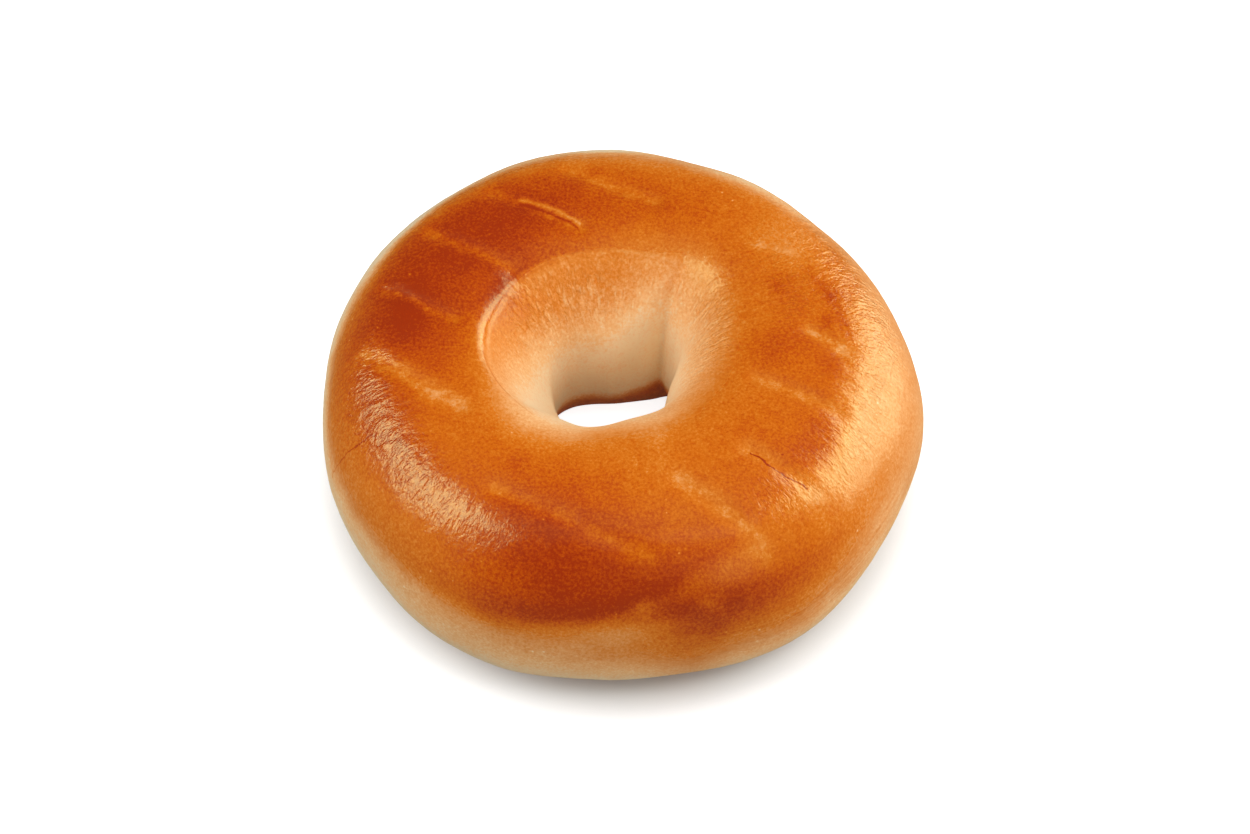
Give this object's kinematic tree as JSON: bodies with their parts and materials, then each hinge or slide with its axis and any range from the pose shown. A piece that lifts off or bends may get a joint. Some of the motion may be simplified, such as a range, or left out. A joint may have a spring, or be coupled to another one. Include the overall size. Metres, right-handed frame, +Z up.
{
  "type": "bagel",
  "caption": "Plain baked bagel: an uneven ring of browned dough with a small hole, lying on its flat base.",
  "frame": {"origin": "centre of the bounding box's bottom face, in the plane of the flat base", "axes": "+Z up through the hole, from the flat base to the browned crown; -Y towards the picture's camera, +X to its right"},
  "size_m": [0.105, 0.1038, 0.0392],
  "materials": {
    "crust": "baked crust: satin, deep golden brown on the crown, orange on the flanks, cream in the hole and round the foot"
  },
  "bodies": {
    "root": {"bagel": "crust"}
  },
  "joints": []
}
